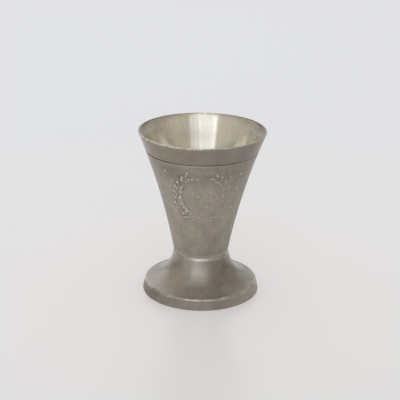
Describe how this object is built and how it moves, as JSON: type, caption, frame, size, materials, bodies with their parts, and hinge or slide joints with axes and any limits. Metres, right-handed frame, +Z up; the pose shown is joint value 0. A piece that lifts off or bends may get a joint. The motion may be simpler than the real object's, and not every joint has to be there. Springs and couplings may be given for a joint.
{
  "type": "shot cup",
  "caption": "Small footed pewter shot cup: flared round bowl with a turned line below the lip, soldered at a narrow neck to a hollow coved foot.",
  "frame": {"origin": "middle of the flat ring that the foot stands on", "axes": "+Z up the cup's axis from the foot to the mouth, -Y to the front with the relief, +X to the right seen from the front"},
  "size_m": [0.0444, 0.0444, 0.0589],
  "materials": {
    "bowl_pewter": "satin",
    "foot_pewter": "satin",
    "solder": "satin"
  },
  "bodies": {
    "root": {"bowl": "bowl_pewter", "foot": "foot_pewter", "neck_solder": "solder"}
  },
  "joints": []
}
